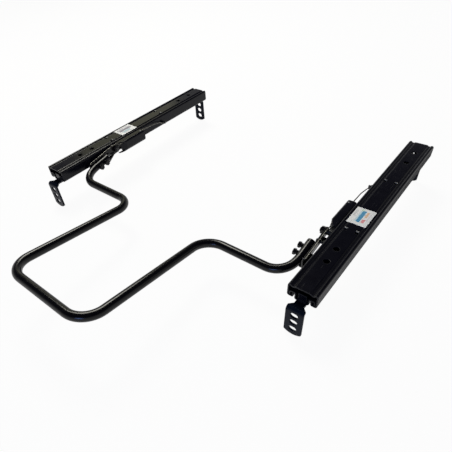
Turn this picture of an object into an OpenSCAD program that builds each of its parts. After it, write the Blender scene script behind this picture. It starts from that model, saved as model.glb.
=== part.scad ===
// A pair of vehicle seat slide rails with one release bar, standing on four slotted feet.
// Millimetres. +X to the right, +Y to the rear, +Z up; the origin is on the ground under the set's middle.
// Each rail is drawn once as the left one: u runs from its centre line towards the other rail,
// y from its front end and z from the underside of its upper channel. The right one is its mirror image.

/* [Rails] */
// Distance between the centre lines of the two rails
rail_gap = 480; // [460:1:520]
// Length of each rail
rail_len = 390; // [388:1:410]
// Outer width of the upper rail
rail_w = 39; // [39:0.5:41]
// Height of the upper rail
rail_h = 20; // [20:0.25:21]
// Thickness of the rails' sheet
sheet_t = 1.8; // [1.6:0.05:1.9]
// Width of the lower rail's floor
floor_w = 19; // [18:0.5:19.5]
// How far the lower rail's floor hangs below the upper rail
floor_drop = 2; // [1.5:0.25:2.5]
// Travel of the upper rail to each side of the rest position
travel = 80; // [60:10:80]

/* [Grooves along the top] */
// Depth of each groove below the flat web
groove_depth = 1.3; // [1.1:0.1:1.4]
// Height of the shoulders above the flat web
shoulder_rise = 0.4; // [0.3:0.1:0.5]
// Width of each groove's flat floor
groove_floor = 1.8; // [1.4:0.1:2.2]

/* [Seat bolts] */
// Diameter of the seat-bolt holes
seat_hole_d = 8.5; // [6.5:0.5:10.5]
// Distance of the first seat-bolt hole from the front end
front_hole_y = 56.5; // [45:0.5:62]
// Distance between the two front holes
front_hole_step = 26.5; // [20:0.5:30]
// Distance of the last seat-bolt hole from the rear end
rear_hole_in = 35; // [25:0.5:45]
// Distance between the two rear holes
rear_hole_step = 34; // [24:0.5:40]

/* [Rollers and balls] */
// Diameter of the balls
ball_d = 6.35; // [6.2:0.05:6.35]
// Distance of each roller from the middle of the punched stops
roller_offset = 16; // [14:1:18]

/* [Feet] */
// Depth of the feet's lowest point below the upper rail
foot_drop = 48; // [46:1:60]
// Width of the hanging leg
foot_w = 23.5; // [22:0.5:27]
// Width of the foot's neck under the rail
neck_w = 13; // [11:0.5:16]
// Thickness of the foot's strap
foot_t = 3; // [2.5:0.25:3.5]
// How far the front feet stand out ahead of the rails
front_foot_out = 15; // [13:0.5:18]
// Height of each slot
slot_w = 8.5; // [6.5:0.5:9]
// End-to-end length of each slot
slot_len = 11; // [10:0.5:14]
// Distance between neighbouring slots
slot_pitch = 12.5; // [11.5:0.25:12.5]

/* [Release bar] */
// Diameter of the bar
bar_d = 12.5; // [11:0.5:13]
// Centre-line radius of the bar's bends
bar_bend_r = 30; // [24:1:31]
// Distance from the middle to each arm of the grip
bar_arm_x = 76; // [64:1:110]
// How far the grip reaches ahead of the rails
bar_reach = 184; // [140:1:230]
// Height of the grip above the upper rails' underside
bar_rise = 27.2; // [10:0.2:40]
// Place of the bar's cross runs behind the rails' front ends
bar_step_y = 25.4; // [24:0.2:28]

/* [Latch] */
// Distance of the latch teeth from the front end
latch_y = 155; // [150:1:160]
// Number of teeth on each latch plate
teeth = 4; // [3:1:4]
// Distance between neighbouring teeth
tooth_pitch = 10; // [9:0.5:10]
// Width of each tooth
tooth_w = 4.4; // [3.6:0.2:4.8]
// Diameter of the latch rod
rod_d = 4; // [3.5:0.25:4]
// Diameter of the lever's pivot
pivot_d = 6; // [5:0.5:6]
// Diameter of the spring wire
wire_d = 1.6; // [1.2:0.1:1.6]

/* [Hidden] */
$fn = 48;

// Colours
paint = "#15161b";
gloss = "#101114";
steel = "#a4a6a8";
oiled = "#2f3032";
nylon = "#d8d4c6";

// Clearances
play = 0.35;
bore_play = 0.05;
hole_play = 0.1;
over = 1;
weld = 0.15;
seam = 0.02;

// Upper rail: sizes along the middle of its sheet
half_w = rail_w / 2;
groove_turn = 40;
groove_r = 1.6;
shoulder_r = 2;
lip_r = 1.8;
lip_top = 6.2;
hook_gap = 22;
inner_face = half_w - sheet_t;
web_top = rail_h - shoulder_rise;
web_under = web_top - sheet_t;
groove_under = web_under - groove_depth;
corner_u = half_w - sheet_t / 2 - shoulder_r;
climb = groove_depth + shoulder_rise;
seat_hole_y = [
    front_hole_y,
    front_hole_y + front_hole_step,
    rail_len - rear_hole_in - rear_hole_step,
    rail_len - rear_hole_in
];
web_half = corner_u - slope_len(climb) - groove_floor - slope_len(groove_depth);
side_run = rail_h - sheet_t - 2 * shoulder_r;
hook_run = corner_u - (hook_gap / 2 + sheet_t / 2 + lip_r);
lip_run = lip_top - sheet_t / 2 - lip_r;

// Lower rail
floor_top = sheet_t - floor_drop;
floor_r = 2;
flange_r = 1.8;
flange_top = groove_under - ball_d - 2 * play;
leg_gap = 0.8;
leg_bottom = 3.2;
wall_u = floor_w / 2 - sheet_t / 2;
leg_u = inner_face - leg_gap - sheet_t / 2;
flange_mid = flange_top - sheet_t / 2;
rack_top = 7.4;
tab_w = 11;
tab_in = 1.2;
tab_top = 10;

// Rollers, balls and cages
roller_d = web_under - floor_top - 2 * play;
roller_z = (web_under + floor_top) / 2;
roller_len = floor_w - 2 * sheet_t - 2 * play;
stop_y = [126, 258];
stop_mid = (stop_y[0] + stop_y[1]) / 2;
stop_w = 4.4;
stop_in = 1.1;
stop_u = web_half - stop_in;
stop_depth = 1.9;
stop_under = groove_under - stop_depth;
stop_window = 4;
ball_z = flange_top + play + ball_d / 2;
cage_t = 1.2;
cage_rim = 0.9;
cage_w = ball_d + 2 * hole_play + 2 * cage_rim;
cage_u = inner_face - play - cage_w / 2;
cage_end = 65;
ball_in = 10;
ball_step = 15;
front_ball_y = [for (i = [0:2]) cage_end + ball_in + ball_step * i];
ball_y = concat(front_ball_y, [for (y = front_ball_y) rail_len - y]);

// Feet and their rivets
bend_in = 2;
bend_out = bend_in + foot_t;
foot_tab = 45;
foot_sag = 4;
first_slot = 10.6;
rear_foot_in = 1;
rivet_d = 6;
rivet_head_d = 10;
rivet_head_h = 2.4;
foot_rivets = [23, 35];
front_rivet_y = [for (y = foot_rivets) y - front_foot_out];
rear_rivet_y = [for (y = foot_rivets) rail_len - rear_foot_in - y];

// Lever and its pivot, stop and finger
slope = 0.17;
tilt = atan(slope);
pivot_y = 113;
pivot_low = 6;
pivot_z = rail_h - pivot_low;
lever_out = 8;
lever_u = half_w + lever_out;
lever_t = 2;
lever_front = 63;
bar_play = 0.2;
lever_half = bar_d / 2 + bar_play + lever_t;
flange_len = 3.5;
flange_step = 33;
heel_len = 9;
heel_start = 27;
heel_end = 7;
lip_free = 1.5;
lip_u = half_w + lip_free;
lip_end = 38;
eye_r = 6;
lever_top = 6;
tail = 5;
collar_d = 9;
nut_af = 10;
nut_h = 5;
thread_out = 2;
stud_d = 5;
stud_y = 94;
stud_out = 12.5;
stud_end = half_w + stud_out;
stud_collar_d = 8;
stud_collar_t = 2;
stud_drop = 3;
stud_back = 0.8;
rivet_cone = 0.6;
finger_y = [100, 106.5];
finger_low = 6.8;
finger_t = 1.8;
finger_z = [pivot_z - finger_low, pivot_z - finger_low + finger_t];
finger_out = 11.5;
finger_end = half_w + finger_out;
finger_free = 1.3;
finger_over = 2;
finger_side = 1.2;

// Release bar, in the middle of its own thickness
bar_u = lever_u + lever_t + bore_play + bar_d / 2;
bar_end_y = 88;
bar_kink_y = 56;
bar_toe = 5;
bar_bolt_d = 5;
bar_bolt_af = 8;
bar_bolt_k = 3;
bar_sleeve_d = 6.5;
bar_sleeve_t = 3;
bar_bolt_y = [64, 77];
bar_end_x = rail_gap / 2 - bar_u;
bar_corner_x = bar_end_x - bar_toe;
bar_right = [
    [bar_end_x, bar_end_y, line_z(bar_end_y)],
    [bar_end_x, bar_kink_y, line_z(bar_kink_y)],
    [bar_corner_x, bar_step_y, line_z(bar_step_y)],
    [bar_arm_x, bar_step_y, line_z(bar_step_y)],
    [bar_arm_x, -bar_reach, bar_rise]
];
bar_path = [
    for (p = bar_right) p,
    for (i = [len(bar_right) - 1:-1:0]) [-bar_right[i][0], bar_right[i][1], bar_right[i][2]]
];

// Latch
rod_out = 5.7;
rod_u = half_w + rod_out;
rod_low = 6.2;
rod_z = rail_h - rod_low;
rod_y = [121, 191];
barrel_d = 6.4;
barrel_len = 40;
barrel_back = 1;
barrel_y = [latch_y - barrel_len / 2 + barrel_back, latch_y + barrel_len / 2 + barrel_back];
plate_lead = 2;
plate_front = barrel_y[0] - plate_lead;
latch_t = 1.8;
latch_out = 2.3;
latch_u = half_w + latch_out;
latch_bottom = 5.6;
tooth_tip = leg_u + sheet_t / 2 + play;
window_z = [3.2, 8.6];
window_play = 0.6;
tooth_y = [for (i = [0:teeth - 1]) latch_y + (i - (teeth - 1) / 2) * tooth_pitch];
rack_count = teeth + 2 * floor(travel / tooth_pitch);
rack_y = [for (i = [0:rack_count - 1]) latch_y + (i - (rack_count - 1) / 2) * tooth_pitch];

// Latch cover
cover_t = 1.5;
nose_draw = 0.5;
cover_y = [122, 186];
cover_low = 0.9;
cover_top = rail_h - cover_low;
cover_bottom = -1.5;
cover_out = 13.5;
cover_u = half_w + cover_out;
cover_r = [1.5, 3, 6];
cover_flange = 10.5;
cover_lip = 2.5;
cover_nose_out = 5;
cover_nose_u = half_w + cover_nose_out;
cover_nose_y = 138;
cover_mouth_out = 8;
cover_mouth_u = half_w + cover_mouth_out;
cover_nose_z = 3;
cover_lap = 0.2;
cover_rivet_d = 4;
cover_rivet_head_d = 7;
cover_rivet_head_h = 1.4;
cover_rivet_y = [128, 180.2];
cover_rivet_low = 6.6;
cover_rivet_z = rail_h - cover_rivet_low;

// Spring wires
anchor_y = 249;
anchor_t = 2;
anchor_out = 7.5;
anchor_u = half_w + anchor_out;
anchor_z = [5, 9.4];
anchor_hole_out = 4.5;
anchor_hole = [half_w + anchor_hole_out, (anchor_z[0] + anchor_z[1]) / 2];
anchor_lead = 5;
wire_hole_d = 2.6;
wire_bend_r = 10;
wire_corner_r = 2.8;
wire_ring_in = 2.4;
wire_ring_y = rod_y[1] - wire_ring_in;
wire_ring_r = rod_d / 2 + wire_d / 2 + 2 * seam + bore_play;
wire_hump = 25.4;
wire_fall = 13;
wire_hump_z = rod_z + rod_d / 2;
wire_fall_z = rod_z - rod_d / 2;
latch_wire = [
    [rod_u, wire_ring_y, rod_z + wire_ring_r],
    [rod_u, wire_ring_y + wire_hump, wire_hump_z],
    [anchor_hole[0], anchor_y - wire_fall, wire_fall_z],
    [anchor_hole[0], anchor_y - anchor_lead, anchor_hole[1]],
    [anchor_hole[0], anchor_y + anchor_lead, anchor_hole[1]]
];
wire_gap = 6.7;
wire_u = half_w + wire_gap;
wire_nip_out = 9.1;
wire_nip_low = 2.5;
wire_nip = [half_w + wire_nip_out, cover_top - wire_nip_low];
wire_nip_in = [4, 11];
wire_nip_y = [for (y = wire_nip_in) cover_y[0] + y];
wire_over = [6, 6.5];
wire_over_y = [pivot_y - wire_over[0], pivot_y + wire_over[1]];
wire_over_z = pivot_z + collar_d / 2 + wire_d / 2;
wire_end_y = 54;
wire_end_z = line_z(wire_end_y) + lever_top;
wire_end_out = 0.4;
bar_wire = [
    [wire_nip[0], wire_nip_y[1], wire_nip[1]],
    [wire_nip[0], wire_nip_y[0], wire_nip[1]],
    [wire_u, wire_over_y[1], wire_over_z],
    [wire_u, wire_over_y[0], wire_over_z],
    [wire_u, wire_end_y, wire_end_z],
    [lever_u + lever_t + wire_end_out, wire_end_y, wire_end_z]
];

// Middle of the set along Y, so that the origin lies under the middle of its bounding box
mid_y = (rail_len - bar_reach - bar_d / 2) / 2;

// Height of the lever's and the bar end's centre line at a place along the rail
function line_z(y) = pivot_z - slope * (pivot_y - y);

// A sheet's step of a given height with two rounded bends: its straight run, and its whole length along u
function slope_run(step) = (step - 2 * groove_r * (1 - cos(groove_turn))) / sin(groove_turn);
function slope_len(step) = 2 * groove_r * sin(groove_turn) + slope_run(step) * cos(groove_turn);

// Directions and bends of a round bar that follows a path of corner points
function unit(v) = v / norm(v);
function turn_at(p, i) = acos(unit(p[i] - p[i - 1]) * unit(p[i + 1] - p[i]));
function cut_at(p, i, r) = i == 0 || i == len(p) - 1 ? 0 : r * tan(turn_at(p, i) / 2);

// Place of the left rail, and its mirror image on the right
module left_side() {
    translate([-rail_gap / 2, -mid_y, foot_drop]) children();
}

module right_side() {
    mirror([1, 0, 0]) left_side() children();
}

// A section drawn in u and z, drawn out along the rail from y0 to y1
module along(y0, y1) {
    translate([0, y1, 0]) rotate([90, 0, 0]) linear_extrude(y1 - y0) children();
}

// A round piece that runs inwards from u0 to u1 at a place of the rail
module across(y, z, u0, u1, d) {
    translate([u0, y, z]) rotate([0, 90, 0]) cylinder(d = d, h = u1 - u0);
}

// A block between two corners
module block(from, to) {
    translate(from) cube(to - from);
}

// One bend of a folded sheet, turning left, or right where the angle is negative
module bend(turn, r, t) {
    reach = 2 * (r + t);
    mirror([0, turn < 0 ? 1 : 0]) translate([0, r]) intersection() {
        difference() {
            circle(r + t / 2);
            circle(r - t / 2);
        }
        polygon([
            [0, 0],
            [0, -reach],
            reach * [sin(abs(turn) / 2), -cos(turn / 2)],
            reach * [sin(abs(turn)), -cos(turn)]
        ]);
    }
}

// A folded sheet's section: each step is a straight run, a turn and the turn's radius in mid-sheet
module sheet(steps, t, i = 0) {
    if (i < len(steps)) {
        run = steps[i][0];
        turn = steps[i][1];
        r = steps[i][2];
        side = sign(turn);
        if (run > 0) translate([0, -t / 2]) square([run, t]);
        if (turn != 0) translate([run, 0]) bend(turn, r, t);
        translate([run + r * sin(abs(turn)), side * r * (1 - cos(turn))])
            rotate(turn) sheet(steps, t, i + 1);
    }
}

// A round bar along a path, with a bend of one radius at each corner; each straight run is a hair
// thicker than the bends and reaches a little way into them
module bent_bar(path, d, r) {
    last = len(path) - 1;
    for (i = [0:last - 1]) {
        way = unit(path[i + 1] - path[i]);
        start = path[i] + way * (cut_at(path, i, r) - (i == 0 ? 0 : weld));
        end = path[i + 1] - way * (cut_at(path, i + 1, r) - (i + 1 == last ? 0 : weld));
        translate(start) rotate([0, acos(way[2]), atan2(way[1], way[0])])
            cylinder(d = d + 2 * seam, h = norm(end - start));
    }
    for (i = [1:last - 1]) bar_bend(path, i, d, r);
}

module bar_bend(path, i, d, r) {
    ahead = unit(path[i] - path[i - 1]);
    next = unit(path[i + 1] - path[i]);
    inwards = unit(next - ahead * (ahead * next));
    out = -inwards;
    axle = cross(out, ahead);
    centre = path[i] - ahead * cut_at(path, i, r) + inwards * r;
    translate(centre)
        rotate([atan2(ahead[2], axle[2]), asin(-out[2]), atan2(out[1], out[0])])
            rotate_extrude(angle = turn_at(path, i)) translate([r, 0]) circle(d = d);
}

// A rivet's cone-shaped head, standing on z = 0
module rivet_head(d, h) {
    cylinder(d1 = d, d2 = rivet_cone * d, h = h);
}

// A hexagonal prism standing on z = 0
module hexagon(af, h) {
    cylinder(d = af / cos(30), h = h, $fn = 6);
}

// Upper rail
module upper_section() {
    steps = [
        [web_half, -groove_turn, groove_r],
        [slope_run(groove_depth), groove_turn, groove_r],
        [groove_floor, groove_turn, groove_r],
        [slope_run(climb), -groove_turn, groove_r],
        [0, -90, shoulder_r],
        [side_run, -90, shoulder_r],
        [hook_run, -90, lip_r],
        [lip_run, 0, 0]
    ];
    for (m = [0, 1]) mirror([m, 0]) translate([0, web_top - sheet_t / 2]) sheet(steps, sheet_t);
}

module roller_stop(side, y) {
    edge = side * stop_u - stop_w / 2;
    translate([edge, y, stop_under]) cube([stop_w, sheet_t, web_top - groove_depth - stop_under]);
}

module upper_rail() {
    difference() {
        along(0, rail_len) upper_section();
        for (y = seat_hole_y) {
            translate([0, y, web_under - over]) cylinder(d = seat_hole_d, h = sheet_t + 2 * over);
        }
        for (side = [-1, 1], y = stop_y) {
            edge = side * stop_u - stop_w / 2;
            translate([edge, y - stop_window, groove_under - over]) cube([stop_w, stop_window, rail_h]);
        }
        for (y = tooth_y) {
            block(
                [inner_face - over, y - tooth_w / 2 - window_play, window_z[0]],
                [half_w + over, y + tooth_w / 2 + window_play, window_z[1]]
            );
        }
        for (y = cover_rivet_y) {
            across(y, cover_rivet_z, inner_face - over, half_w + over, cover_rivet_d + 2 * hole_play);
        }
        across(pivot_y, pivot_z, inner_face - over, half_w + over, pivot_d + 2 * hole_play);
        across(stud_y, line_z(stud_y), inner_face - over, half_w + over, stud_d + 2 * hole_play);
    }
    for (side = [-1, 1], y = stop_y) roller_stop(side, y);
    difference() {
        block(
            [half_w - sheet_t / 2, anchor_y - anchor_t / 2, anchor_z[0]],
            [anchor_u, anchor_y + anchor_t / 2, anchor_z[1]]
        );
        translate([anchor_hole[0], anchor_y - anchor_t, anchor_hole[1]])
            rotate([-90, 0, 0]) cylinder(d = wire_hole_d, h = 2 * anchor_t);
    }
}

// Lower rail
module lower_section() {
    steps = [
        [wall_u - floor_r, 90, floor_r],
        [flange_mid - flange_r - (floor_top - sheet_t / 2 + floor_r), -90, flange_r],
        [leg_u - wall_u - 2 * flange_r, -90, flange_r],
        [flange_mid - flange_r - leg_bottom, 0, 0]
    ];
    for (m = [0, 1]) mirror([m, 0]) translate([0, floor_top - sheet_t / 2]) sheet(steps, sheet_t);
}

module lower_rail() {
    difference() {
        along(0, rail_len) lower_section();
        for (y = concat(front_rivet_y, rear_rivet_y)) {
            translate([0, y, -floor_drop - over])
                cylinder(d = rivet_d + 2 * hole_play, h = sheet_t + 2 * over);
        }
        for (y = rack_y) {
            block(
                [leg_u - sheet_t / 2 - over, y - tooth_w / 2 - window_play, leg_bottom - over],
                [leg_u + sheet_t / 2 + over, y + tooth_w / 2 + window_play, rack_top]
            );
        }
    }
    for (y = [tab_in, rail_len - tab_in - sheet_t]) {
        block([-tab_w / 2, y, floor_top - sheet_t / 2], [tab_w / 2, y + sheet_t, tab_top]);
    }
}

// Foot: a strap that runs under the rail, flares, bends and hangs down; its hanging leg faces -y
module foot_outline() {
    low = foot_drop - floor_drop;
    arc_r = foot_w * foot_w / (8 * foot_sag) + foot_sag / 2;
    translate([-foot_w / 2, foot_sag - low]) square([foot_w, low - foot_sag - bend_out]);
    intersection() {
        translate([0, arc_r - low]) circle(arc_r);
        translate([-foot_w / 2, -low]) square([foot_w, foot_sag]);
    }
}

module foot() {
    flare = (foot_w - neck_w) / 2;
    difference() {
        translate([0, foot_t, 0]) rotate([90, 0, 0]) linear_extrude(foot_t) foot_outline();
        for (i = [0:2], end = [-1, 1]) {
            translate([end * (slot_len - slot_w) / 2, -over, -first_slot - i * slot_pitch])
                rotate([-90, 0, 0]) cylinder(d = slot_w, h = foot_t + 2 * over);
        }
        for (i = [0:2]) {
            block(
                [-(slot_len - slot_w) / 2, -over, -first_slot - i * slot_pitch - slot_w / 2],
                [(slot_len - slot_w) / 2, foot_t + over, -first_slot - i * slot_pitch + slot_w / 2]
            );
        }
    }
    translate([-foot_w / 2, bend_out, -bend_out]) rotate([0, 90, 0]) rotate(180)
        rotate_extrude(angle = 90) translate([bend_in, 0]) square([foot_t, foot_w]);
    difference() {
        translate([0, 0, -foot_t]) linear_extrude(foot_t) polygon([
            [-foot_w / 2, bend_out], [-neck_w / 2, bend_out + flare], [-neck_w / 2, foot_tab],
            [neck_w / 2, foot_tab], [neck_w / 2, bend_out + flare], [foot_w / 2, bend_out]
        ]);
        for (y = foot_rivets) {
            translate([0, y, -foot_t - over]) cylinder(d = rivet_d + 2 * hole_play, h = foot_t + 2 * over);
        }
    }
}

module front_foot() {
    translate([0, -front_foot_out, -floor_drop]) foot();
}

module rear_foot() {
    translate([0, rail_len - rear_foot_in, -floor_drop]) mirror([0, 1, 0]) foot();
}

module foot_rivets() {
    under = -floor_drop - foot_t;
    for (y = concat(front_rivet_y, rear_rivet_y)) translate([0, y, 0]) {
        translate([0, 0, under]) cylinder(d = rivet_d, h = floor_top - under);
        translate([0, 0, floor_top]) rivet_head(rivet_head_d, rivet_head_h);
        translate([0, 0, under]) mirror([0, 0, 1]) rivet_head(rivet_head_d, rivet_head_h);
    }
}

// Rollers, balls and their cages
module roller(y) {
    across(y, roller_z, -roller_len / 2, roller_len / 2, roller_d);
}

module ball_cage(side) {
    difference() {
        translate([side * cage_u - cage_w / 2, cage_end, ball_z - cage_t / 2])
            cube([cage_w, rail_len - 2 * cage_end, cage_t]);
        for (y = ball_y) {
            translate([side * cage_u, y, ball_z - cage_t])
                cylinder(d = ball_d + 2 * hole_play, h = 2 * cage_t);
        }
    }
}

module balls() {
    for (side = [-1, 1], y = ball_y) translate([side * cage_u, y, ball_z]) sphere(d = ball_d);
}

// Latch cover: one folded sheet with its front corner cut off and end walls that carry the rod
module cover_section() {
    top = cover_top - cover_t / 2;
    low = cover_bottom + cover_t / 2;
    steps = [
        [top - cover_r[0] - cover_flange, -90, cover_r[0]],
        [cover_u - half_w - cover_t - cover_r[0] - cover_r[1], -90, cover_r[1]],
        [top - cover_r[1] - cover_r[2] - low, -90, cover_r[2]],
        [cover_lip, 0, 0]
    ];
    translate([half_w + cover_t / 2, cover_flange]) rotate(90) sheet(steps, cover_t);
}

// End wall's outline in u and z, up into the sheet round it
module end_wall(u) {
    inner_u = half_w + cover_t / 2;
    translate([inner_u, cover_flange])
        square([u - inner_u, cover_top - cover_t - cover_flange + cover_lap]);
}

module latch_cover() {
    run = cover_nose_y - cover_y[0];
    fall = cover_u - cover_nose_u;
    difference() {
        union() {
            difference() {
                along(cover_y[0], cover_y[1]) cover_section();
                translate([0, 0, cover_bottom - over])
                    linear_extrude(cover_top - cover_bottom + 2 * over) polygon([
                        [cover_nose_u - over * fall / run, cover_y[0] - over],
                        [cover_u + over, cover_y[0] - over],
                        [cover_u + over, cover_nose_y + over * run / fall]
                    ]);
            }
            along(cover_y[1] - cover_t, cover_y[1]) end_wall(cover_u - cover_t);
            along(cover_y[0], cover_y[0] + cover_t) end_wall(cover_nose_u);
            difference() {
                translate([0, 0, cover_nose_z])
                    linear_extrude(cover_top - cover_t - cover_nose_z + cover_lap) polygon([
                        [cover_nose_u, cover_y[0]],
                        [cover_u - cover_t / 2, cover_nose_y - cover_t / 2 * run / fall],
                        [cover_u - cover_t / 2, cover_nose_y + cover_t],
                        [cover_nose_u - nose_draw, cover_y[0] + cover_t]
                    ]);
                block([0, 0, 0], [cover_mouth_u, cover_nose_y, cover_flange]);
            }
        }
        translate([rod_u, cover_y[0] - 2 * over, rod_z]) rotate([-90, 0, 0])
            cylinder(d = rod_d + 2 * bore_play, h = cover_y[1] - cover_y[0] + 4 * over);
        for (y = cover_rivet_y) {
            across(y, cover_rivet_z, half_w - over, half_w + cover_t + over, cover_rivet_d + 2 * hole_play);
        }
        block(
            [wire_nip[0] - wire_d, cover_y[0], wire_nip[1] - wire_d],
            [wire_nip[0] + wire_d, cover_nose_y, cover_top - cover_t]
        );
    }
}

module cover_rivets() {
    for (y = cover_rivet_y) {
        across(y, cover_rivet_z, inner_face, half_w + cover_t, cover_rivet_d);
        translate([half_w + cover_t, y, cover_rivet_z]) rotate([0, 90, 0])
            rivet_head(cover_rivet_head_d, cover_rivet_head_h);
    }
}

// Latch rod and plate
module latch_rod() {
    translate([rod_u, rod_y[0], rod_z]) rotate([-90, 0, 0])
        cylinder(d = rod_d, h = rod_y[1] - rod_y[0]);
}

module latch_plate() {
    difference() {
        union() {
            translate([rod_u, barrel_y[0], rod_z]) rotate([-90, 0, 0])
                cylinder(d = barrel_d, h = barrel_y[1] - barrel_y[0]);
            block([latch_u, plate_front, latch_bottom], [latch_u + latch_t, barrel_y[1], rod_z]);
            block([latch_u, finger_y[0], finger_z[0]], [latch_u + latch_t, plate_front, finger_z[1]]);
            block([latch_u, finger_y[0], finger_z[0]], [finger_end, finger_y[1], finger_z[1]]);
            for (y = tooth_y) {
                block(
                    [tooth_tip, y - tooth_w / 2, latch_bottom],
                    [latch_u, y + tooth_w / 2, latch_bottom + latch_t]
                );
            }
        }
        translate([rod_u, plate_front - over, rod_z]) rotate([-90, 0, 0])
            cylinder(d = rod_d + 2 * hole_play, h = barrel_y[1] - plate_front + 2 * over);
    }
}

// Spring wires
module latch_spring() {
    bent_bar(latch_wire, wire_d, wire_bend_r);
    translate([rod_u, wire_ring_y, rod_z]) rotate([90, 0, 0])
        rotate_extrude() translate([wire_ring_r, 0]) circle(d = wire_d + 4 * seam);
}

module bar_spring() {
    bent_bar(bar_wire, wire_d, wire_corner_r);
}

// Release lever: a wall beside the bar's end and a foot under it, which widens behind the bar and runs
// out towards a flat eye; drawn level about its pivot
module level_lever() {
    low = -lever_half;
    difference() {
        union() {
            translate([lever_u, 0, 0]) rotate([90, 0, 90]) linear_extrude(lever_t) {
                polygon([
                    [-lever_front, low], [tail, low], [eye_r, 0], [0, eye_r], [-lever_front, lever_top]
                ]);
                circle(eye_r);
            }
            translate([0, 0, low]) linear_extrude(lever_t) polygon([
                [lip_u, -lever_front],
                [lever_u + lever_t + flange_len, -lever_front],
                [lever_u + lever_t + flange_len, -flange_step],
                [lever_u + lever_t + heel_len, -heel_start],
                [lever_u + lever_t, -heel_end],
                [lever_u, -heel_end],
                [lever_u, -lip_end],
                [lip_u, -lip_end]
            ]);
        }
        across(0, 0, lever_u - over, lever_u + lever_t + over, pivot_d + 2 * bore_play);
    }
}

module release_lever() {
    wall = [lever_u - over, lever_u + lever_t + over];
    stud_z = line_z(stud_y);
    difference() {
        translate([0, pivot_y, pivot_z]) rotate([tilt, 0, 0]) level_lever();
        block(
            [wall[0], stud_y - stud_d / 2 - play, stud_z - stud_d / 2 - stud_drop],
            [wall[1], stud_y + stud_d / 2 + stud_back, stud_z + stud_d / 2 + play]
        );
        block(
            [wall[0], finger_y[0] - finger_side, finger_z[0] - finger_free],
            [wall[1], finger_y[1] + finger_side, finger_z[1] + finger_over]
        );
        across(wire_end_y, wire_end_z, wall[0], wall[1], wire_hole_d);
        for (y = bar_bolt_y) across(y, line_z(y), wall[0], wall[1], bar_bolt_d + 2 * hole_play);
    }
}

module pivot_bolt() {
    across(pivot_y, pivot_z, inner_face, lever_u + lever_t + nut_h + thread_out, pivot_d);
    across(pivot_y, pivot_z, half_w, lever_u - play, collar_d);
}

module pivot_nut() {
    difference() {
        translate([lever_u + lever_t + play, pivot_y, pivot_z]) rotate([0, 90, 0]) hexagon(nut_af, nut_h);
        across(pivot_y, pivot_z, lever_u, lever_u + 2 * nut_h, pivot_d + bore_play);
    }
}

module stop_stud() {
    across(stud_y, line_z(stud_y), inner_face, stud_end, stud_d);
    across(stud_y, line_z(stud_y), half_w, half_w + stud_collar_t, stud_collar_d);
}

// Bolts that hold the bar in the lever, each with a short sleeve under its head
module bar_bolts() {
    seat_u = bar_u + bar_d / 2 + bore_play;
    for (y = bar_bolt_y) {
        across(y, line_z(y), lever_u, seat_u, bar_bolt_d);
        across(y, line_z(y), seat_u, seat_u + bar_sleeve_t, bar_sleeve_d);
        translate([seat_u + bar_sleeve_t, y, line_z(y)]) rotate([0, 90, 0])
            hexagon(bar_bolt_af, bar_bolt_k);
    }
}

// Release bar: one round bar with both ends drilled for the bolts
module whole_bar() {
    difference() {
        translate([0, -mid_y, foot_drop]) bent_bar(bar_path, bar_d, bar_bend_r);
        for (m = [0, 1], y = bar_bolt_y) mirror([m, 0, 0]) left_side()
            across(y, line_z(y), lever_u, bar_u + bar_d, bar_bolt_d + 2 * hole_play);
    }
}

// Sub-parts
module lower_rail_left() { color(paint) left_side() lower_rail(); }
module lower_rail_right() { color(paint) right_side() lower_rail(); }
module upper_rail_left() { color(paint) left_side() upper_rail(); }
module upper_rail_right() { color(paint) right_side() upper_rail(); }
module front_foot_left() { color(paint) left_side() front_foot(); }
module front_foot_right() { color(paint) right_side() front_foot(); }
module rear_foot_left() { color(paint) left_side() rear_foot(); }
module rear_foot_right() { color(paint) right_side() rear_foot(); }
module foot_rivets_left() { color(paint) left_side() foot_rivets(); }
module foot_rivets_right() { color(paint) right_side() foot_rivets(); }
module front_roller_left() { color(steel) left_side() roller(stop_mid - roller_offset); }
module front_roller_right() { color(steel) right_side() roller(stop_mid - roller_offset); }
module rear_roller_left() { color(steel) left_side() roller(stop_mid + roller_offset); }
module rear_roller_right() { color(steel) right_side() roller(stop_mid + roller_offset); }
module outer_ball_cage_left() { color(nylon) left_side() ball_cage(-1); }
module outer_ball_cage_right() { color(nylon) right_side() ball_cage(-1); }
module inner_ball_cage_left() { color(nylon) left_side() ball_cage(1); }
module inner_ball_cage_right() { color(nylon) right_side() ball_cage(1); }
module balls_left() { color(steel) left_side() balls(); }
module balls_right() { color(steel) right_side() balls(); }
module latch_cover_left() { color(paint) left_side() latch_cover(); }
module latch_cover_right() { color(paint) right_side() latch_cover(); }
module cover_rivets_left() { color(paint) left_side() cover_rivets(); }
module cover_rivets_right() { color(paint) right_side() cover_rivets(); }
module latch_rod_left() { color(oiled) left_side() latch_rod(); }
module latch_rod_right() { color(oiled) right_side() latch_rod(); }
module latch_plate_left() { color(paint) left_side() latch_plate(); }
module latch_plate_right() { color(paint) right_side() latch_plate(); }
module latch_spring_left() { color(steel) left_side() latch_spring(); }
module latch_spring_right() { color(steel) right_side() latch_spring(); }
module bar_spring_left() { color(steel) left_side() bar_spring(); }
module bar_spring_right() { color(steel) right_side() bar_spring(); }
module release_lever_left() { color(gloss) left_side() release_lever(); }
module release_lever_right() { color(gloss) right_side() release_lever(); }
module pivot_bolt_left() { color(oiled) left_side() pivot_bolt(); }
module pivot_bolt_right() { color(oiled) right_side() pivot_bolt(); }
module pivot_nut_left() { color(gloss) left_side() pivot_nut(); }
module pivot_nut_right() { color(gloss) right_side() pivot_nut(); }
module stop_stud_left() { color(oiled) left_side() stop_stud(); }
module stop_stud_right() { color(oiled) right_side() stop_stud(); }
module bar_bolts_left() { color(gloss) left_side() bar_bolts(); }
module bar_bolts_right() { color(gloss) right_side() bar_bolts(); }
module release_bar() { color(gloss) whole_bar(); }

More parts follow.
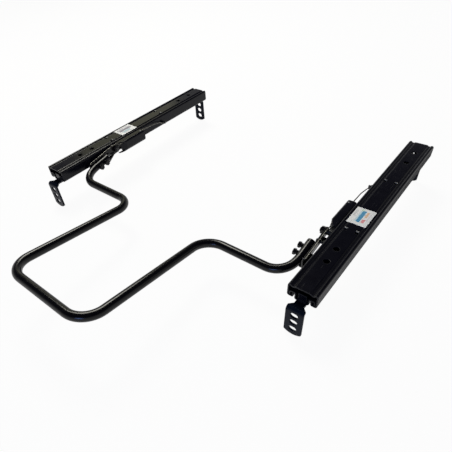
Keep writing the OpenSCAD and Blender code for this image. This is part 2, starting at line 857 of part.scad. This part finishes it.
lower_rail_left();
lower_rail_right();
upper_rail_left();
upper_rail_right();
front_foot_left();
front_foot_right();
rear_foot_left();
rear_foot_right();
foot_rivets_left();
foot_rivets_right();
front_roller_left();
front_roller_right();
rear_roller_left();
rear_roller_right();
outer_ball_cage_left();
outer_ball_cage_right();
inner_ball_cage_left();
inner_ball_cage_right();
balls_left();
balls_right();
latch_cover_left();
latch_cover_right();
cover_rivets_left();
cover_rivets_right();
latch_rod_left();
latch_rod_right();
latch_plate_left();
latch_plate_right();
latch_spring_left();
latch_spring_right();
bar_spring_left();
bar_spring_right();
release_lever_left();
release_lever_right();
pivot_bolt_left();
pivot_bolt_right();
pivot_nut_left();
pivot_nut_right();
stop_stud_left();
stop_stud_right();
bar_bolts_left();
bar_bolts_right();
release_bar();
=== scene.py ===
import math

import bmesh
import bpy
from mathutils import Matrix, Vector


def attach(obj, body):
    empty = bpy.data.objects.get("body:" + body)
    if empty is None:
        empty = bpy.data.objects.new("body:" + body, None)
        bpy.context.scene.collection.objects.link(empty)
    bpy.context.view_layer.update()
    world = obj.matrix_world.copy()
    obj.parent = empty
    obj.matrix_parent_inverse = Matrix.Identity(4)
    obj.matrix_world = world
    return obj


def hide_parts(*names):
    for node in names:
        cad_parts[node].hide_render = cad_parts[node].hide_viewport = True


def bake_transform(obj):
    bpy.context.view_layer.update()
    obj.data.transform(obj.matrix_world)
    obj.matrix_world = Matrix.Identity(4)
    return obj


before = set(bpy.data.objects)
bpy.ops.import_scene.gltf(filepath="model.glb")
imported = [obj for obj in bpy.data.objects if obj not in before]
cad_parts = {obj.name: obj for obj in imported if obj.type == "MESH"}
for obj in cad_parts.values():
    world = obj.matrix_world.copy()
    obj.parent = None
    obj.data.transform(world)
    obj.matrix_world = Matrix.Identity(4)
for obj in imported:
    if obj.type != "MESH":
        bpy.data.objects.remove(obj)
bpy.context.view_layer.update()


# Rails, rivets and latch parts: steel strip, rolled to shape, punched and dipped in black electrocoat.
# The coat is thin and satin, a little blue and cloudy at a closer look. It is paler where it thins on the
# folds, rubbed along the rail in a few places, and goes matt at a glancing view.
def linear(code):
    parts = [int(code[i:i + 2], 16) / 255 for i in (1, 3, 5)]
    return [p / 12.92 if p <= 0.04045 else ((p + 0.055) / 1.055) ** 2.4 for p in parts] + [1.0]


def add(tree, kind, inputs=None, **settings):
    made = tree.nodes.new(kind)
    for name, value in settings.items():
        setattr(made, name, value)
    for key, value in (inputs or {}).items():
        if isinstance(value, bpy.types.NodeSocket):
            tree.links.new(value, made.inputs[key])
        else:
            made.inputs[key].default_value = value
    return made


def new_finish(name):
    made = bpy.data.materials.new(name)
    made.use_nodes = True
    return made, made.node_tree, made.node_tree.nodes["Principled BSDF"]


sides = ("left", "right")


def dress(material, *names):
    for name in names:
        for side in sides:
            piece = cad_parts[f"{name}_{side}"]
            piece.data.materials.clear()
            piece.data.materials.append(material)


# The IOR gives the coat's gloss seen straight on, which the export keeps. A specular level of 0.5 leaves it
# as it is, and the level falls to glancing_gloss at a slant.
def electrocoat(name, tones, ior, glancing_gloss):
    made, tree, coat = new_finish(name)
    place = add(tree, "ShaderNodeTexCoord").outputs["Object"]
    cloud_mm, grit_mm, edge_mm = 14, 0.8, 1.0
    rub_mm = (1.6, 22, 5)
    cloud = add(tree, "ShaderNodeTexNoise", {
        "Vector": place, "Scale": 1000 / cloud_mm, "Detail": 4.0}).outputs["Fac"]
    grit = add(tree, "ShaderNodeTexNoise", {
        "Vector": place, "Scale": 1000 / grit_mm, "Detail": 2.0}).outputs["Fac"]
    along = add(tree, "ShaderNodeMapping", {
        "Vector": place, "Scale": [1000 / size for size in rub_mm]}).outputs["Vector"]
    streaks = add(tree, "ShaderNodeTexNoise", {
        "Vector": along, "Scale": 1.0, "Detail": 3.0}).outputs["Fac"]
    rubbed = add(tree, "ShaderNodeMapRange", {
        "Value": streaks, "From Min": 0.66, "From Max": 0.78, "To Max": 0.35}).outputs["Result"]
    rounded = add(tree, "ShaderNodeBevel", {"Radius": edge_mm / 1000}, samples=8).outputs["Normal"]
    flat = add(tree, "ShaderNodeNewGeometry").outputs["Normal"]
    likeness = add(tree, "ShaderNodeVectorMath", {
        0: rounded, 1: flat}, operation="DOT_PRODUCT").outputs["Value"]
    edge = add(tree, "ShaderNodeMapRange", {
        "Value": likeness, "From Min": 0.99, "From Max": 0.86, "To Max": 0.45}).outputs["Result"]
    thin = add(tree, "ShaderNodeMath", {0: edge, 1: cloud}, operation="MULTIPLY").outputs["Value"]
    worn = add(tree, "ShaderNodeMath", {0: thin, 1: rubbed}, operation="MAXIMUM").outputs["Value"]
    tone = add(tree, "ShaderNodeMix", {
        "Factor": cloud, "A": linear(tones[0]), "B": linear(tones[1])}, data_type="RGBA")
    paint = add(tree, "ShaderNodeMix", {
        "Factor": worn, "A": tone.outputs["Result"], "B": linear("#36373b")}, data_type="RGBA")
    satin = add(tree, "ShaderNodeMapRange", {
        "Value": cloud, "To Min": 0.15, "To Max": 0.24}).outputs["Result"]
    dulled = add(tree, "ShaderNodeMath", {0: edge, 1: rubbed}, operation="MAXIMUM").outputs["Value"]
    sheen = add(tree, "ShaderNodeMath", {0: satin, 1: dulled}, operation="ADD").outputs["Value"]
    glance = add(tree, "ShaderNodeLayerWeight", {"Blend": 0.5}).outputs["Facing"]
    blur = add(tree, "ShaderNodeMapRange", {
        "Value": glance, "From Min": 0.68, "From Max": 0.88, "To Max": 0.45}).outputs["Result"]
    matted = add(tree, "ShaderNodeMath", {0: sheen, 1: blur}, operation="ADD")
    gleam = add(tree, "ShaderNodeMapRange", {
        "Value": glance, "From Min": 0.6, "From Max": 0.95, "To Min": 0.5, "To Max": glancing_gloss})
    skin = add(tree, "ShaderNodeBump", {
        "Height": grit, "Strength": 0.03, "Distance": 0.0001, "Normal": rounded})
    tree.links.new(paint.outputs["Result"], coat.inputs["Base Color"])
    tree.links.new(matted.outputs["Value"], coat.inputs["Roughness"])
    tree.links.new(gleam.outputs["Result"], coat.inputs["Specular IOR Level"])
    tree.links.new(skin.outputs["Normal"], coat.inputs["Normal"])
    coat.inputs["IOR"].default_value = ior
    return made


black_coat = electrocoat("black_electrocoat", ("#0a0a10", "#12121a"), ior=1.261, glancing_gloss=0.104)
dress(black_coat, "lower_rail", "upper_rail", "foot_rivets", "latch_cover", "cover_rivets", "latch_plate")

# Feet: four hanging straps, pressed from thicker strip with three slots each, and riveted under the rails.
# Their coat is given a duller gloss than the rails', and its colour is tinted bluer as a painted reflection of
# the bluish front light.
feet_coat_painted_blue_reflection = electrocoat("black_electrocoat_painted_blue_reflection", ("#080d18", "#0f1624"), ior=1.161, glancing_gloss=0.15)
dress(feet_coat_painted_blue_reflection, "front_foot", "rear_foot")

# Torn lips of the roller stops: where each stop is lanced and bent down out of the web, the steel draws up
# in a small lip behind the slit. The coat is knocked off it, so bare steel catches the light.
rail_x = {"left": -240.0, "right": 240.0}
mid_y, web_top = 99.875, 67.6
lip_height, lip_length, lip_width = 1.5, 2.6, 4.2
lip_u, lip_y = 7.7, (127.2, 259.2)
bared, tree, torn = new_finish("bared_steel")
place = add(tree, "ShaderNodeTexCoord").outputs["Object"]
tear_mm = 0.7
tears = add(tree, "ShaderNodeTexNoise", {"Vector": place, "Scale": 1000 / tear_mm, "Detail": 2.0})
flecks = add(tree, "ShaderNodeMix", {
    "Factor": tears.outputs["Fac"], "A": linear("#464647"), "B": linear("#a0a1a2")}, data_type="RGBA")
tree.links.new(flecks.outputs["Result"], torn.inputs["Base Color"])
torn.inputs["Metallic"].default_value = 1.0
torn.inputs["Roughness"].default_value = 0.6
lips = bpy.data.node_groups.new("torn_lips", "GeometryNodeTree")
for name, kind in (("Places", "Geometry"), ("Size", "Vector"), ("Steel", "Material")):
    lips.interface.new_socket(name, in_out="INPUT", socket_type=f"NodeSocket{kind}")
lips.interface.new_socket("Lips", in_out="OUTPUT", socket_type="NodeSocketGeometry")
given = add(lips, "NodeGroupInput").outputs
across = (0, math.radians(90), 0)
rod = add(lips, "GeometryNodeMeshCylinder", {"Vertices": 24, "Radius": 0.5, "Depth": 1.0})
roll = add(lips, "GeometryNodeTransform", {
    "Geometry": rod.outputs["Mesh"], "Scale": given["Size"], "Rotation": across})
set_out = add(lips, "GeometryNodeInstanceOnPoints", {
    "Points": given["Places"], "Instance": roll.outputs["Geometry"]})
real = add(lips, "GeometryNodeRealizeInstances", {"Geometry": set_out.outputs["Instances"]})
coated = add(lips, "GeometryNodeSetMaterial", {
    "Geometry": real.outputs["Geometry"], "Material": given["Steel"]})
add(lips, "NodeGroupOutput", {"Lips": coated.outputs["Geometry"]})


def put(name, data):
    made = bpy.data.objects.new(name, data)
    bpy.context.scene.collection.objects.link(made)
    return made


def grow(name, group, points, **values):
    mesh = bpy.data.meshes.new(name + "_places")
    mesh.from_pydata([[v / 1000 for v in p] for p in points], [], [])
    piece = put(name, mesh)
    nodes = piece.modifiers.new(group.name, "NODES")
    nodes.node_group = group
    for socket in group.interface.items_tree:
        if socket.name in values:
            nodes[socket.identifier] = values[socket.name]
    grown = piece.evaluated_get(bpy.context.evaluated_depsgraph_get())
    done = bpy.data.meshes.new_from_object(grown)
    piece.modifiers.remove(nodes)
    piece.data = done
    return piece


lip_size = [v / 1000 for v in (lip_height, lip_length, lip_width)]
for side in sides:
    spots = [(rail_x[side] + u, y - mid_y, web_top) for u in (-lip_u, lip_u) for y in lip_y]
    piece = grow(f"stop_lips_{side}", lips, spots, Size=lip_size, Steel=bared)
    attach(piece, f"seat_rail_{side}")

# Peened nibs: the head of the steel pin that holds each latch cover's top.
# It is hammered to a low dome, which knocks the coat off, so it shows as one small bright spot.
inwards = {"left": 1, "right": -1}
nib_r, nib_h, nib_u, nib_y, cover_top = 1.7, 0.8, 28.4, 180.0, 67.1
for side in sides:
    spot = Vector((rail_x[side] + inwards[side] * nib_u, nib_y - mid_y, cover_top)) / 1000
    dome = bmesh.new()
    bmesh.ops.create_uvsphere(
        dome, u_segments=24, v_segments=12, radius=0.001,
        matrix=Matrix.Translation(spot) @ Matrix.Diagonal((nib_r, nib_r, nib_h, 1)))
    mesh = bpy.data.meshes.new(f"cover_nib_{side}")
    dome.to_mesh(mesh)
    dome.free()
    mesh.shade_smooth()
    mesh.materials.append(bared)
    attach(put(mesh.name, mesh), f"seat_rail_{side}")

# Rollers and balls: hardened bearing steel, ground bright and left bare under a film of oil.
# Grinding leaves fine lines round each roller, drawn here coarser than they are so that they show.
ground, tree, metal = new_finish("ground_bearing_steel")
place = add(tree, "ShaderNodeTexCoord").outputs["Object"]
line_mm, wave_period = 0.8, math.tau / 20
lines = add(tree, "ShaderNodeTexWave", {
    "Vector": place, "Scale": 1000 * wave_period / line_mm, "Distortion": 1.5, "Detail": 2.0},
    bands_direction="X").outputs["Fac"]
shade = add(tree, "ShaderNodeMix", {
    "Factor": lines, "A": linear("#8f9193"), "B": linear("#b4b6b7")}, data_type="RGBA")
gloss = add(tree, "ShaderNodeMapRange", {"Value": lines, "To Min": 0.16, "To Max": 0.3})
tree.links.new(shade.outputs["Result"], metal.inputs["Base Color"])
tree.links.new(gloss.outputs["Result"], metal.inputs["Roughness"])
metal.inputs["Metallic"].default_value = 1.0
dress(ground, "front_roller", "rear_roller", "balls")

# Ball cages: natural nylon strips with a pocket for each ball, moulded, and lying loose between the rails.
# The skin is matt and the body slightly milky, with faint flow marks.
nylon, tree, body = new_finish("natural_nylon")
place = add(tree, "ShaderNodeTexCoord").outputs["Object"]
flow_mm = 6
flow = add(tree, "ShaderNodeTexNoise", {"Vector": place, "Scale": 1000 / flow_mm, "Detail": 3.0})
milk = add(tree, "ShaderNodeMix", {
    "Factor": flow.outputs["Fac"], "A": linear("#cfcab8"), "B": linear("#e2decf")}, data_type="RGBA")
tree.links.new(milk.outputs["Result"], body.inputs["Base Color"])
body.inputs["Roughness"].default_value = 0.55
body.inputs["Subsurface Weight"].default_value = 0.15
body.inputs["Subsurface Radius"].default_value = (0.001, 0.001, 0.0008)
dress(nylon, "outer_ball_cage", "inner_ball_cage")

# Release bar, levers and their bolts and nuts: mild steel with a thick coat of gloss black paint.
# The paint has a faint orange peel and a few specks of dust under its skin. As on the rails, the IOR gives
# its gloss seen straight on, and the specular level takes that down at a slant.
enamel, tree, gloss_coat = new_finish("gloss_black_enamel")
place = add(tree, "ShaderNodeTexCoord").outputs["Object"]
peel_mm, speck_mm = 5, 1.2
peel = add(tree, "ShaderNodeTexNoise", {
    "Vector": place, "Scale": 1000 / peel_mm, "Detail": 1.0}).outputs["Fac"]
specks = add(tree, "ShaderNodeTexNoise", {
    "Vector": place, "Scale": 1000 / speck_mm, "Detail": 0.0}).outputs["Fac"]
dust = add(tree, "ShaderNodeMapRange", {"Value": specks, "From Min": 0.7, "From Max": 0.8})
black = add(tree, "ShaderNodeMix", {
    "Factor": dust.outputs["Result"], "A": linear("#08080a"), "B": linear("#15151a")}, data_type="RGBA")
dull = add(tree, "ShaderNodeMapRange", {"Value": peel, "To Min": 0.17, "To Max": 0.23})
waves = add(tree, "ShaderNodeBump", {"Height": peel, "Strength": 0.02, "Distance": 0.0002})
slant = add(tree, "ShaderNodeLayerWeight", {"Blend": 0.5}).outputs["Facing"]
shine = add(tree, "ShaderNodeMapRange", {
    "Value": slant, "From Min": 0.5, "From Max": 0.9, "To Min": 0.5, "To Max": 0.094})
tree.links.new(black.outputs["Result"], gloss_coat.inputs["Base Color"])
tree.links.new(dull.outputs["Result"], gloss_coat.inputs["Roughness"])
tree.links.new(shine.outputs["Result"], gloss_coat.inputs["Specular IOR Level"])
tree.links.new(waves.outputs["Normal"], gloss_coat.inputs["Normal"])
gloss_coat.inputs["IOR"].default_value = 1.322
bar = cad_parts["release_bar"]
bar.data.materials.clear()
bar.data.materials.append(enamel)
dress(enamel, "release_lever", "bar_bolts", "pivot_nut")

# Pivot bolts, stop studs and latch rods: turned steel, blackened in hot oil, so dark grey with a dull gleam.
# Each pivot bolt's thread stands out of its nut by two turns.
oiled, tree, blackened = new_finish("oil_blackened_steel")
place = add(tree, "ShaderNodeTexCoord").outputs["Object"]
bloom_mm = 2.5
bloom = add(tree, "ShaderNodeTexNoise", {
    "Vector": place, "Scale": 1000 / bloom_mm, "Detail": 3.0}).outputs["Fac"]
grey = add(tree, "ShaderNodeMix", {
    "Factor": bloom, "A": linear("#2c2d2f"), "B": linear("#4a4b4a")}, data_type="RGBA")
haze = add(tree, "ShaderNodeMapRange", {"Value": bloom, "To Min": 0.28, "To Max": 0.5})
tree.links.new(grey.outputs["Result"], blackened.inputs["Base Color"])
tree.links.new(haze.outputs["Result"], blackened.inputs["Roughness"])
blackened.inputs["Metallic"].default_value = 1.0
dress(oiled, "pivot_bolt", "stop_stud", "latch_rod")
pivot_y, pivot_z = 113.0, 62.0
thread_r, ridge_r, ridge_u = 3.0, 0.28, (35.15, 36.0)
threads = bpy.data.node_groups.new("thread_ridges", "GeometryNodeTree")
for name, kind in (("Places", "Geometry"), ("Radius", "Float"), ("Ridge", "Float"), ("Steel", "Material")):
    threads.interface.new_socket(name, in_out="INPUT", socket_type=f"NodeSocket{kind}")
threads.interface.new_socket("Ridges", in_out="OUTPUT", socket_type="NodeSocketGeometry")
given = add(threads, "NodeGroupInput").outputs
turn = add(threads, "GeometryNodeCurvePrimitiveCircle", {"Resolution": 40, "Radius": given["Radius"]})
crest = add(threads, "GeometryNodeCurvePrimitiveCircle", {"Resolution": 6, "Radius": given["Ridge"]})
ring = add(threads, "GeometryNodeCurveToMesh", {
    "Curve": turn.outputs["Curve"], "Profile Curve": crest.outputs["Curve"]})
set_out = add(threads, "GeometryNodeInstanceOnPoints", {
    "Points": given["Places"], "Instance": ring.outputs["Mesh"], "Rotation": across})
real = add(threads, "GeometryNodeRealizeInstances", {"Geometry": set_out.outputs["Instances"]})
coated = add(threads, "GeometryNodeSetMaterial", {
    "Geometry": real.outputs["Geometry"], "Material": given["Steel"]})
add(threads, "NodeGroupOutput", {"Ridges": coated.outputs["Geometry"]})
for side in sides:
    spots = [(rail_x[side] + inwards[side] * u, pivot_y - mid_y, pivot_z) for u in ridge_u]
    piece = grow(
        f"pivot_thread_{side}", threads, spots,
        Radius=thread_r / 1000, Ridge=ridge_r / 1000, Steel=oiled)
    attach(piece, f"seat_rail_{side}")

# Spring wires: hard-drawn steel, bare, with fine die lines along the wire and a dull oily skin.
# The CAD mesh of the wire over each lever is copied, merged and cut across near the lever's pivot,
# so that it has points enough to bend at there; the CAD wire itself is hidden.
drawn, tree, wire = new_finish("hard_drawn_wire")
place = add(tree, "ShaderNodeTexCoord").outputs["Object"]
die_mm, run_mm = 0.2, 12
stretched = add(tree, "ShaderNodeMapping", {
    "Vector": place, "Scale": (1000 / die_mm, 1000 / run_mm, 1000 / die_mm)}).outputs["Vector"]
die_lines = add(tree, "ShaderNodeTexNoise", {"Vector": stretched, "Scale": 1.0, "Detail": 2.0})
oily = add(tree, "ShaderNodeMix", {
    "Factor": die_lines.outputs["Fac"], "A": linear("#4d4c49"), "B": linear("#7d7c76")}, data_type="RGBA")
tree.links.new(oily.outputs["Result"], wire.inputs["Base Color"])
wire.inputs["Metallic"].default_value = 1.0
wire.inputs["Roughness"].default_value = 0.42
dress(drawn, "latch_spring", "bar_spring")
bend_reach, bend_steps, sharp_deg = 9.0, 12, 40
merge_within, cut_within = 1e-6, 1e-7
bend_y = [
    (pivot_y - mid_y + bend_reach * (1 - 2 * step / bend_steps)) / 1000
    for step in range(bend_steps + 1)]
for side in sides:
    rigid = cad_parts[f"bar_spring_{side}"]
    cut = bmesh.new()
    cut.from_mesh(rigid.data)
    cut.transform(rigid.matrix_world)
    bmesh.ops.remove_doubles(cut, verts=cut.verts, dist=merge_within)
    for y in bend_y:
        bmesh.ops.bisect_plane(
            cut, geom=[*cut.verts, *cut.edges, *cut.faces], dist=cut_within,
            plane_co=(0, y, 0), plane_no=(0, 1, 0))
    mesh = bpy.data.meshes.new(f"bending_spring_{side}")
    cut.to_mesh(mesh)
    cut.free()
    mesh.attributes.remove(mesh.attributes["custom_normal"])
    mesh.shade_smooth()
    mesh.set_sharp_from_angle(angle=math.radians(sharp_deg))
    mesh.materials.append(drawn)
    piece = put(mesh.name, mesh)
    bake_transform(piece)
    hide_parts(rigid.name)

# Labels: one white paper sticker on each upper rail, pressed on by hand across the flat of its web.
# It carries plain fields of ink and no words; its free edges droop a little over the grooves.
# Each side has the sticker's near left corner on the rail, then its fields: left, right, front, back, ink.
label_w, label_l, label_t = 26.5, 38, 0.12
flat_half, droop = 8.6, 0.06
paper_white = "#f2f3f3"
prints = {
    "left": (-15.0, 149.0, (
        (-10.2, -6.4, -14, 13, "#c3c1c8"), (-5.2, 2.0, -14, 15, "#8f8c98"),
        (2.8, 8.2, -11, 8, "#b4ccd4"), (9.2, 11.0, -13, 13, "#cbc9cf"))),
    "right": (-14.2, 139.5, (
        *((-11.6, -8.8, y, y + 0.9, "#96989e") for y in (-1.5, 0.9, 3.3, 5.7, 8.1, 10.5)),
        (-5.6, -1.6, 12.6, 17, "#cfe3cf"), (-5.4, -3.2, -13, 12, "#cfe6ee"),
        (-3.2, 1.9, -13, 14, "#4d9ac4"), (3.4, 6.5, 0.5, 13, "#eec7a6"),
        (3.2, 7.4, -12, -4, "#e99a9f"), (8.6, 9.4, -6, 11, "#d9cfe0"))),
}
sticker, tree, sheet = new_finish("printed_paper")
ink = add(tree, "ShaderNodeVertexColor", layer_name="ink").outputs["Color"]
place = add(tree, "ShaderNodeTexCoord").outputs["Object"]
fibre_mm = 1.5
fibre = add(tree, "ShaderNodeTexNoise", {"Vector": place, "Scale": 1000 / fibre_mm, "Detail": 3.0})
soiled = add(tree, "ShaderNodeMapRange", {
    "Value": fibre.outputs["Fac"], "From Min": 0.4, "To Max": 0.1})
print_colour = add(tree, "ShaderNodeMix", {
    "Factor": soiled.outputs["Result"], "A": ink, "B": linear("#b9b6ae")}, data_type="RGBA")
tree.links.new(print_colour.outputs["Result"], sheet.inputs["Base Color"])
sheet.inputs["Roughness"].default_value = 0.5
half_w, half_l = label_w / 2, label_l / 2
for side, (from_x, from_y, inks) in prints.items():
    xs = sorted({-half_w, half_w, -flat_half - from_x - half_w, flat_half - from_x - half_w}
                | {x for field in inks for x in field[:2]})
    ys = sorted({-half_l, half_l} | {y for field in inks for y in field[2:4]})
    points, faces, tints = [], [], []
    for y in ys:
        for x in xs:
            beside = x + from_x + half_w
            fall = droop * max(0, abs(beside) - flat_half)
            points.append(((rail_x[side] + beside) / 1000, (y + from_y + half_l - mid_y) / 1000,
                           (web_top + label_t - fall) / 1000))
    row = len(xs)
    for b in range(len(ys) - 1):
        for a in range(row - 1):
            near, far = b * row + a, (b + 1) * row + a
            faces.append((near, near + 1, far + 1, far))
            x, y = (xs[a] + xs[a + 1]) / 2, (ys[b] + ys[b + 1]) / 2
            found = [f[4] for f in inks if f[0] < x < f[1] and f[2] < y < f[3]]
            tints.append(linear(found[0] if found else paper_white))
    mesh = bpy.data.meshes.new(f"label_{side}")
    mesh.from_pydata(points, [], faces)
    layer = mesh.color_attributes.new("ink", "FLOAT_COLOR", "CORNER")
    for face, tint in zip(mesh.polygons, tints):
        for corner in face.loop_indices:
            layer.data[corner].color = tint
    mesh.materials.append(sticker)
    label = put(mesh.name, mesh)
    thick = label.modifiers.new("thickness", "SOLIDIFY")
    thick.thickness = label_t / 1000
    thick.offset = -1
    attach(label, f"seat_rail_{side}")

# Studio: a broad white floor that runs out of view, a softbox high at the back left, a weak warm one low behind
# it and a weak bluish one low at the front. The floor is white to the eye and in reflections, and takes the
# set's soft shadow. The room is pale near the floor and dark overhead; the camera sees a pale backdrop.
reach, floor_glow = 4.0, 0.95
floor_mesh = bpy.data.meshes.new("floor")
floor_mesh.from_pydata(
    [(-reach, -reach, 0), (reach, -reach, 0), (reach, reach, 0), (-reach, reach, 0)], [], [(0, 1, 2, 3)])
paper, tree, matt = new_finish("white_paper")
matt.inputs["Base Color"].default_value = linear("#f4f4f4")
matt.inputs["Roughness"].default_value = 0.9
glow = add(tree, "ShaderNodeEmission", {"Color": linear("#ffffff"), "Strength": 1.0})
rays = add(tree, "ShaderNodeLightPath").outputs
seen = add(tree, "ShaderNodeMath", {
    0: rays["Is Camera Ray"], 1: rays["Is Glossy Ray"]}, operation="MAXIMUM").outputs["Value"]
seen_all = add(tree, "ShaderNodeMath", {
    0: seen, 1: rays["Is Transmission Ray"]}, operation="MAXIMUM").outputs["Value"]
share = add(tree, "ShaderNodeMath", {0: seen_all, 1: floor_glow}, operation="MULTIPLY")
blend = add(tree, "ShaderNodeMixShader", {
    "Fac": share.outputs["Value"], 1: matt.outputs["BSDF"], 2: glow.outputs["Emission"]})
tree.links.new(blend.outputs["Shader"], tree.nodes["Material Output"].inputs["Surface"])
floor_mesh.materials.append(paper)
put("floor", floor_mesh)

world = bpy.data.worlds.new("studio")
bpy.context.scene.world = world
world.use_nodes = True
tree = world.node_tree
way = add(tree, "ShaderNodeTexCoord").outputs["Generated"]
height = add(tree, "ShaderNodeSeparateXYZ", {"Vector": way}).outputs["Z"]
walls = add(tree, "ShaderNodeValToRGB", {"Fac": height})
stops = walls.color_ramp.elements
stops[0].position, stops[0].color = 0.0, linear("#f0f0ee")
stops[1].position, stops[1].color = 1.0, linear("#2b2b3a")
stops.new(0.3).color = linear("#a8a8a7")
stops.new(0.47).color = linear("#323344")
looked_at = add(tree, "ShaderNodeLightPath").outputs["Is Camera Ray"]
backdrop = add(tree, "ShaderNodeMix", {
    "Factor": looked_at, "A": walls.outputs["Color"], "B": linear("#f6f6f5")}, data_type="RGBA")
tree.links.new(backdrop.outputs["Result"], tree.nodes["Background"].inputs["Color"])

for name, spot, size, watts, tint in (
    ("key_softbox", (-0.95, 0.6, 1.65), (0.78, 0.78), 31, "#fcfaee"),
    ("left_softbox", (-1.68, 1.15, 0.88), (0.7, 0.6), 0.8, "#f7f5bf"),
    ("front_softbox", (0.5, -1.4, 0.45), (0.5, 0.3), 5, "#7fa2ee"),
):
    lamp = bpy.data.lights.new(name, "AREA")
    lamp.shape = "RECTANGLE"
    lamp.size, lamp.size_y = size
    lamp.energy = watts
    lamp.color = linear(tint)[:3]
    facing = Vector(spot).to_track_quat("Z", "Y").to_matrix().to_4x4()
    put(name, lamp).matrix_world = Matrix.Translation(spot) @ facing

# Camera: looks down from the front right, as the photograph does.
# Its place and lens are fitted to the straight edges of the rails and the bar there.
lens_px, frame_px, sensor_mm = 386.07, 452, 36
middle_px = (208.69, 270.11)
camera_data = bpy.data.cameras.new("camera")
camera_data.sensor_width = sensor_mm
camera_data.lens = lens_px / frame_px * sensor_mm
camera_data.shift_x = (frame_px / 2 - middle_px[0]) / frame_px
camera_data.shift_y = (middle_px[1] - frame_px / 2) / frame_px
camera_data.clip_start = 0.01
camera = put("camera", camera_data)
camera.matrix_world = Matrix((
    (0.77711, -0.40972, 0.47773, 0.35633),
    (0.62497, 0.59189, -0.50899, -0.375265),
    (-0.07422, 0.69411, 0.71603, 0.40404),
    (0, 0, 0, 1)))
bpy.context.scene.camera = camera

bpy.context.scene.view_settings.view_transform = "Standard"
